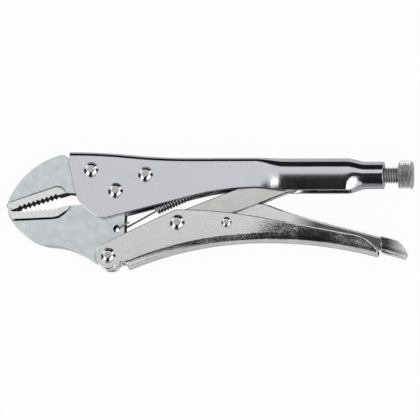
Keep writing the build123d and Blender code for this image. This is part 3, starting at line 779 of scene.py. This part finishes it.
# How far off the camera stands and how far it sees, and the width of its sensor in millimetres
CAMERA_DISTANCE = 2.2
CAMERA_REACH = 30
SENSOR = 36.0

# Dome that the dark cards are cut from, and the faint glow of a card
CARD_RADIUS = 4.0
CARD_SEGMENTS, CARD_RINGS = 96, 48
CARD_SHADE = 0.012

# Planes that cut each card out of the dome: normal, and distance from the middle in radii
CARDS = {
    "front_card": [((0, 1, 0), 0.09), ((1, -0.2, 0), 0.29), ((-1, 0.25, 0), 0.30), ((0, 0, -1), 0)],
    "back_card": [((0, -1, 0), 0), ((1, -0.8, 0), 0), ((-1, -0.7, 0), 0), ((0, 0, 1), 0.80), ((0, 0, -1), 0)],
    "left_card": [((1, 0, 0), 0), ((0.27, 1, 0), 0), ((0.45, -1, 0), 0), ((0, 0, 1), 0.70), ((0, 0, -1), 0)],
    "right_card": [
        ((-1, 0, 0), 0), ((-0.32, 1, 0), 0), ((-0.21, -1, 0), 0), ((0, 0, 1), 0.70), ((0, 0, -1), 0)
    ],
    "low_card": [((0, 0, 1), 0.10), ((0, 0, -1), 0)],
}

# Softboxes: azimuth from +X, elevation, width and height, all in degrees, and radiance
LAMP_DISTANCE = 3.5
LAMPS = {
    "front_left_softbox": (218, 38, 30, 48, 1.2),
    "front_right_softbox": (322, 52, 46, 54, 1.3),
    "back_right_softbox": (35, 30, 18, 40, 0.6),
    "back_left_softbox": (146, 28, 18, 36, 0.5),
    "top_left_softbox": (190, 68, 9, 7, 3.2),
}
WORLD_LIGHT = 0.8

# The floor lies this far under the rivet heads
FLOOR_GAP = 0.05 * MM
FLOOR_SIZE = 16
FLOOR_ROUGHNESS = 0.9

# Share of plain white in the floor as the camera sees it, and as the metal mirrors it
FLOOR_SEEN = 0.96
FLOOR_MIRRORED = 0.05


def lay_floor(colour):
    """Lay the floor, which is white to the camera and dim in the metal."""
    deselect()
    bpy.ops.mesh.primitive_plane_add(size=FLOOR_SIZE, location=(0, 0, -FLOOR_GAP))
    floor = added("studio_floor")
    paper, tree, shader = new_material("floor_paper")
    shader.inputs["Base Color"].default_value = (*colour, 1)
    shader.inputs["Roughness"].default_value = FLOOR_ROUGHNESS
    shader.inputs["Specular IOR Level"].default_value = 0.0
    path = tree.nodes.new("ShaderNodeLightPath")
    mirrors = maths(tree, "ADD", path.outputs["Is Glossy Ray"], path.outputs["Is Transmission Ray"])
    mirrored = maths(tree, "MULTIPLY", mirrors, FLOOR_MIRRORED)
    share = maths(tree, "MULTIPLY_ADD", path.outputs["Is Camera Ray"], FLOOR_SEEN, mirrored)
    glow = tree.nodes.new("ShaderNodeEmission")
    white = tree.nodes.new("ShaderNodeMixShader")
    for socket, output in zip(white.inputs, (share, shader.outputs[0], glow.outputs[0])):
        tree.links.new(output, socket)
    tree.links.new(white.outputs[0], tree.nodes["Material Output"].inputs["Surface"])
    floor.data.materials.append(paper)


def hang_cards():
    """Hang the dark cards, which only the metal sees."""
    black, _, shader = new_material("black_card")
    shader.inputs["Base Color"].default_value = (0, 0, 0, 1)
    shader.inputs["Specular IOR Level"].default_value = 0.0
    shader.inputs["Emission Color"].default_value = (1, 1, 1, 1)
    shader.inputs["Emission Strength"].default_value = CARD_SHADE
    for name, planes in CARDS.items():
        deselect()
        bpy.ops.mesh.primitive_uv_sphere_add(
            segments=CARD_SEGMENTS, ring_count=CARD_RINGS, radius=CARD_RADIUS
        )
        card = added(name)
        bpy.ops.object.mode_set(mode="EDIT")
        for normal, distance in planes:
            bpy.ops.mesh.select_all(action="SELECT")
            side = Vector(normal)
            at = side * (distance * CARD_RADIUS / side.length_squared)
            bpy.ops.mesh.bisect(plane_co=at, plane_no=side, clear_outer=True)
        bpy.ops.object.mode_set(mode="OBJECT")
        card.data.materials.append(black)
        card.visible_camera = False
        card.visible_diffuse = False
        card.visible_shadow = False


def light_studio(scene):
    """Give the studio its even light and hang the softboxes."""
    world = bpy.data.worlds.new("studio")
    world.use_nodes = True
    background = world.node_tree.nodes["Background"]
    background.inputs["Color"].default_value = (1, 1, 1, 1)
    background.inputs["Strength"].default_value = WORLD_LIGHT
    world.cycles.sampling_method = "NONE"
    scene.world = world
    for name, (azimuth, elevation, width, height, radiance) in LAMPS.items():
        deselect()
        around, above = math.radians(azimuth), math.radians(elevation)
        level = math.cos(above)
        toward = Vector((math.cos(around) * level, math.sin(around) * level, math.sin(above)))
        bpy.ops.object.light_add(type="AREA", location=toward * LAMP_DISTANCE)
        lamp = added(name)
        lamp.rotation_euler = toward.to_track_quat("Z", "Y").to_euler()
        lamp.data.shape = "ELLIPSE"
        lamp.data.size = 2 * LAMP_DISTANCE * math.tan(math.radians(width / 2))
        lamp.data.size_y = 2 * LAMP_DISTANCE * math.tan(math.radians(height / 2))
        area = math.pi / 4 * lamp.data.size * lamp.data.size_y
        lamp.data.energy = math.pi * area * radiance
        lamp.visible_camera = False


def place_camera(scene):
    """Place the camera of the photograph, with the tool level in its picture."""
    right = (Vector((1, 0, 0)) - CAMERA_SIDE * CAMERA_SIDE.x).normalized()
    turned = Matrix((right, CAMERA_SIDE.cross(right), CAMERA_SIDE)).transposed().to_4x4()
    deselect()
    bpy.ops.object.camera_add()
    camera = added("photo_camera")
    camera.matrix_world = Matrix.Translation(PICTURE_MIDDLE + CAMERA_SIDE * CAMERA_DISTANCE) @ turned
    camera.data.sensor_width = SENSOR
    camera.data.lens = SENSOR * CAMERA_DISTANCE / PICTURE_WIDTH
    camera.data.clip_end = CAMERA_REACH
    scene.camera = camera


class PLIERS_OT_stage(bpy.types.Operator):
    """Lay the floor, hang the cards and the lamps, and place the camera"""

    bl_idname = "pliers.stage"
    bl_label = "Stage"

    def execute(self, context):
        scene = context.scene
        lay_floor(scene.pliers_finishes.floor_white)
        hang_cards()
        light_studio(scene)
        place_camera(scene)
        scene.view_settings.view_transform = "Standard"
        return {"FINISHED"}


class PLIERS_PT_sidebar(bpy.types.Panel):
    """Panel with the operators, sizes and finishes of the pliers"""

    bl_idname = "PLIERS_PT_sidebar"
    bl_label = "Locking pliers"
    bl_space_type = "VIEW_3D"
    bl_region_type = "UI"
    bl_category = "Pliers"

    def draw(self, context):
        layout = self.layout
        for operator in OPERATORS:
            layout.operator(operator.bl_idname)
        for group in (context.scene.pliers_sizes, context.scene.pliers_finishes):
            box = layout.box()
            for name in group.__annotations__:
                box.prop(group, name)


OPERATORS = (
    PLIERS_OT_fixed_handle,
    PLIERS_OT_movable_handle,
    PLIERS_OT_jaws,
    PLIERS_OT_linkage,
    PLIERS_OT_rivets,
    PLIERS_OT_screw,
    PLIERS_OT_knob,
    PLIERS_OT_spring,
    PLIERS_OT_stage,
)
CLASSES = (PliersSizes, PliersFinishes, *OPERATORS, PLIERS_PT_sidebar)


def register():
    for cls in CLASSES:
        bpy.utils.register_class(cls)
    bpy.types.Scene.pliers_sizes = PointerProperty(type=PliersSizes)
    bpy.types.Scene.pliers_finishes = PointerProperty(type=PliersFinishes)


def unregister():
    del bpy.types.Scene.pliers_finishes
    del bpy.types.Scene.pliers_sizes
    for cls in reversed(CLASSES):
        bpy.utils.unregister_class(cls)


def main():
    register()
    bpy.ops.pliers.fixed_handle()
    bpy.ops.pliers.movable_handle()
    bpy.ops.pliers.jaws()
    bpy.ops.pliers.linkage()
    bpy.ops.pliers.rivets()
    bpy.ops.pliers.screw()
    bpy.ops.pliers.knob()
    bpy.ops.pliers.spring()
    bpy.ops.pliers.stage()
    bpy.context.view_layer.update()


if __name__ == "__main__":
    main()
